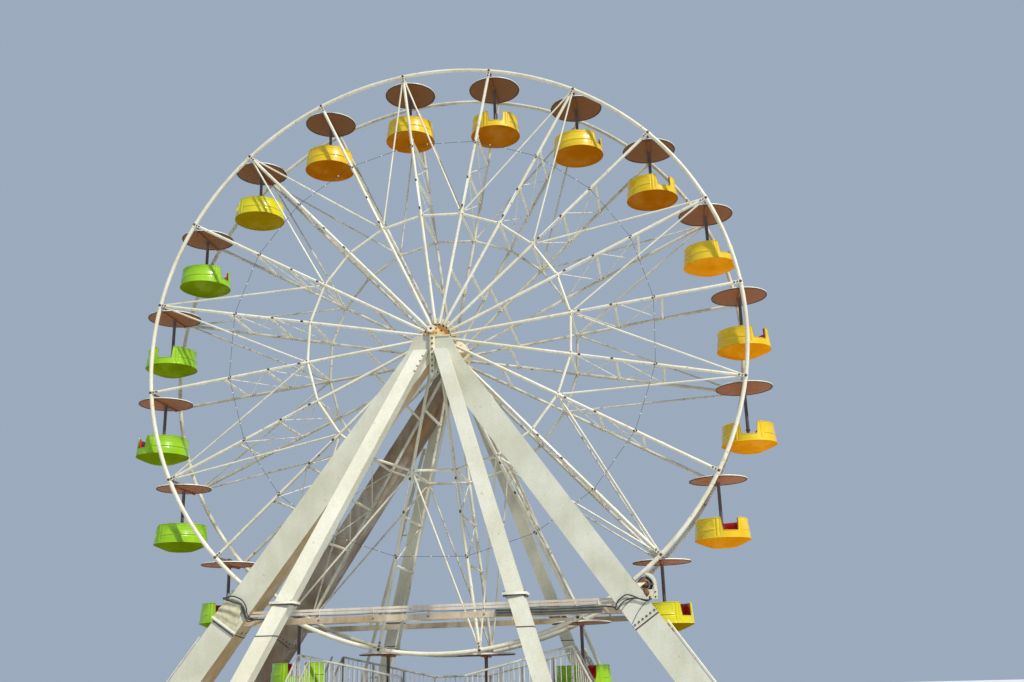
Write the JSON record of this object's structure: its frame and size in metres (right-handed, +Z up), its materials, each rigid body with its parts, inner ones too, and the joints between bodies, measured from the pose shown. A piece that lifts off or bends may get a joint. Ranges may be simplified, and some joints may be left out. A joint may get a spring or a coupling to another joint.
{
  "type": "ferris wheel",
  "caption": "Fairground ferris wheel with open round gondolas under disc canopies, two raked A-frame legs at each end of the axle, loading decks and a friction drive at the rim.",
  "frame": {"origin": "on the ground, at the middle of the footprint of the eight legs", "axes": "+Z up, +Y along the wheel's axle from the front to the rear, +X to the right seen from the front"},
  "size_m": [18.4346, 13.265, 19.2698],
  "materials": {
    "cream_paint": "satin",
    "rusty_orange_paint": "matte",
    "dark_steel": "satin",
    "rubber": "matte",
    "deck_paint": "matte",
    "terracotta": "matte",
    "yellow_moulding": "gloss",
    "lime_moulding": "gloss"
  },
  "bodies": {
    "tower": {"front_left_main_leg": "cream_paint", "front_left_raker": "cream_paint", "front_right_main_leg": "cream_paint", "front_right_raker": "cream_paint", "rear_left_main_leg": "cream_paint", "rear_left_raker": "cream_paint", "rear_right_main_leg": "cream_paint", "rear_right_raker": "cream_paint", "front_bearing": "dark_steel", "rear_bearing": "dark_steel", "front_tie_beam": "cream_paint", "rear_tie_beam": "cream_paint", "front_loading_deck": "deck_paint", "rear_loading_deck": "deck_paint", "drive_bracket": "cream_paint"},
    "wheel": {"wheel_front_side": "cream_paint", "wheel_rear_side": "cream_paint", "hub_and_axle": "rusty_orange_paint"},
    "gondola_01": {"gondola_01_canopy": "terracotta", "gondola_01_tub": "lime_moulding"},
    "gondola_02": {"gondola_02_canopy": "terracotta", "gondola_02_tub": "yellow_moulding"},
    "gondola_03": {"gondola_03_canopy": "terracotta", "gondola_03_tub": "yellow_moulding"},
    "gondola_04": {"gondola_04_canopy": "terracotta", "gondola_04_tub": "yellow_moulding"},
    "gondola_05": {"gondola_05_canopy": "terracotta", "gondola_05_tub": "yellow_moulding"},
    "gondola_06": {"gondola_06_canopy": "terracotta", "gondola_06_tub": "yellow_moulding"},
    "gondola_07": {"gondola_07_canopy": "terracotta", "gondola_07_tub": "yellow_moulding"},
    "gondola_08": {"gondola_08_canopy": "terracotta", "gondola_08_tub": "yellow_moulding"},
    "gondola_09": {"gondola_09_canopy": "terracotta", "gondola_09_tub": "yellow_moulding"},
    "gondola_10": {"gondola_10_canopy": "terracotta", "gondola_10_tub": "yellow_moulding"},
    "gondola_11": {"gondola_11_canopy": "terracotta", "gondola_11_tub": "yellow_moulding"},
    "gondola_12": {"gondola_12_canopy": "terracotta", "gondola_12_tub": "yellow_moulding"},
    "gondola_13": {"gondola_13_canopy": "terracotta", "gondola_13_tub": "lime_moulding"},
    "gondola_14": {"gondola_14_canopy": "terracotta", "gondola_14_tub": "lime_moulding"},
    "gondola_15": {"gondola_15_canopy": "terracotta", "gondola_15_tub": "lime_moulding"},
    "gondola_16": {"gondola_16_canopy": "terracotta", "gondola_16_tub": "lime_moulding"},
    "gondola_17": {"gondola_17_canopy": "terracotta", "gondola_17_tub": "lime_moulding"},
    "gondola_18": {"gondola_18_canopy": "terracotta", "gondola_18_tub": "lime_moulding"},
    "gondola_19": {"gondola_19_canopy": "terracotta", "gondola_19_tub": "lime_moulding"},
    "gondola_20": {"gondola_20_canopy": "terracotta", "gondola_20_tub": "lime_moulding"},
    "drive_roller": {"drive_roller": "rubber"}
  },
  "joints": [
    {"name": "wheel_spin", "type": "hinge", "parent": "tower", "child": "wheel", "pos_m": [0, 0.84, 10.71], "axis": [0, 1, 0], "continuous": true},
    {"name": "gondola_01_level", "type": "hinge", "parent": "wheel", "child": "gondola_01", "pos_m": [-7.42345, 0.84, 14.85033], "axis": [0, 1, 0], "continuous": true},
    {"name": "gondola_02_level", "type": "hinge", "parent": "wheel", "child": "gondola_02", "pos_m": [-5.78069, 0.84, 16.94166], "axis": [0, 1, 0], "continuous": true},
    {"name": "gondola_03_level", "type": "hinge", "parent": "wheel", "child": "gondola_03", "pos_m": [-3.57207, 0.84, 18.42299], "axis": [0, 1, 0], "continuous": true},
    {"name": "gondola_04_level", "type": "hinge", "parent": "wheel", "child": "gondola_04", "pos_m": [-1.0138, 0.84, 19.14933], "axis": [0, 1, 0], "continuous": true},
    {"name": "gondola_05_level", "type": "hinge", "parent": "wheel", "child": "gondola_05", "pos_m": [1.64372, 0.84, 19.04956], "axis": [0, 1, 0], "continuous": true},
    {"name": "gondola_06_level", "type": "hinge", "parent": "wheel", "child": "gondola_06", "pos_m": [4.14033, 0.84, 18.13345], "axis": [0, 1, 0], "continuous": true},
    {"name": "gondola_07_level", "type": "hinge", "parent": "wheel", "child": "gondola_07", "pos_m": [6.23166, 0.84, 16.49069], "axis": [0, 1, 0], "continuous": true},
    {"name": "gondola_08_level", "type": "hinge", "parent": "wheel", "child": "gondola_08", "pos_m": [7.71299, 0.84, 14.28208], "axis": [0, 1, 0], "continuous": true},
    {"name": "gondola_09_level", "type": "hinge", "parent": "wheel", "child": "gondola_09", "pos_m": [8.43933, 0.84, 11.7238], "axis": [0, 1, 0], "continuous": true},
    {"name": "gondola_10_level", "type": "hinge", "parent": "wheel", "child": "gondola_10", "pos_m": [8.33956, 0.84, 9.06629], "axis": [0, 1, 0], "continuous": true},
    {"name": "gondola_11_level", "type": "hinge", "parent": "wheel", "child": "gondola_11", "pos_m": [7.42345, 0.84, 6.56967], "axis": [0, 1, 0], "continuous": true},
    {"name": "gondola_12_level", "type": "hinge", "parent": "wheel", "child": "gondola_12", "pos_m": [5.78069, 0.84, 4.47834], "axis": [0, 1, 0], "continuous": true},
    {"name": "gondola_13_level", "type": "hinge", "parent": "wheel", "child": "gondola_13", "pos_m": [3.57207, 0.84, 2.99701], "axis": [0, 1, 0], "continuous": true},
    {"name": "gondola_14_level", "type": "hinge", "parent": "wheel", "child": "gondola_14", "pos_m": [1.0138, 0.84, 2.27068], "axis": [0, 1, 0], "continuous": true},
    {"name": "gondola_15_level", "type": "hinge", "parent": "wheel", "child": "gondola_15", "pos_m": [-1.64372, 0.84, 2.37044], "axis": [0, 1, 0], "continuous": true},
    {"name": "gondola_16_level", "type": "hinge", "parent": "wheel", "child": "gondola_16", "pos_m": [-4.14033, 0.84, 3.28655], "axis": [0, 1, 0], "continuous": true},
    {"name": "gondola_17_level", "type": "hinge", "parent": "wheel", "child": "gondola_17", "pos_m": [-6.23166, 0.84, 4.92931], "axis": [0, 1, 0], "continuous": true},
    {"name": "gondola_18_level", "type": "hinge", "parent": "wheel", "child": "gondola_18", "pos_m": [-7.71299, 0.84, 7.13793], "axis": [0, 1, 0], "continuous": true},
    {"name": "gondola_19_level", "type": "hinge", "parent": "wheel", "child": "gondola_19", "pos_m": [-8.43933, 0.84, 9.6962], "axis": [0, 1, 0], "continuous": true},
    {"name": "gondola_20_level", "type": "hinge", "parent": "wheel", "child": "gondola_20", "pos_m": [-8.33956, 0.84, 12.35371], "axis": [0, 1, 0], "continuous": true},
    {"name": "roller_spin", "type": "hinge", "parent": "tower", "child": "drive_roller", "pos_m": [5.32718, -0.127, 3.74233], "axis": [0, 1, 0], "continuous": true}
  ],
  "couplings": [
    {"joint": "gondola_01_level", "follows": "wheel_spin", "ratio": -1},
    {"joint": "gondola_02_level", "follows": "wheel_spin", "ratio": -1},
    {"joint": "gondola_03_level", "follows": "wheel_spin", "ratio": -1},
    {"joint": "gondola_04_level", "follows": "wheel_spin", "ratio": -1},
    {"joint": "gondola_05_level", "follows": "wheel_spin", "ratio": -1},
    {"joint": "gondola_06_level", "follows": "wheel_spin", "ratio": -1},
    {"joint": "gondola_07_level", "follows": "wheel_spin", "ratio": -1},
    {"joint": "gondola_08_level", "follows": "wheel_spin", "ratio": -1},
    {"joint": "gondola_09_level", "follows": "wheel_spin", "ratio": -1},
    {"joint": "gondola_10_level", "follows": "wheel_spin", "ratio": -1},
    {"joint": "gondola_11_level", "follows": "wheel_spin", "ratio": -1},
    {"joint": "gondola_12_level", "follows": "wheel_spin", "ratio": -1},
    {"joint": "gondola_13_level", "follows": "wheel_spin", "ratio": -1},
    {"joint": "gondola_14_level", "follows": "wheel_spin", "ratio": -1},
    {"joint": "gondola_15_level", "follows": "wheel_spin", "ratio": -1},
    {"joint": "gondola_16_level", "follows": "wheel_spin", "ratio": -1},
    {"joint": "gondola_17_level", "follows": "wheel_spin", "ratio": -1},
    {"joint": "gondola_18_level", "follows": "wheel_spin", "ratio": -1},
    {"joint": "gondola_19_level", "follows": "wheel_spin", "ratio": -1},
    {"joint": "gondola_20_level", "follows": "wheel_spin", "ratio": -1},
    {"joint": "roller_spin", "follows": "wheel_spin", "ratio": -42.829}
  ]
}
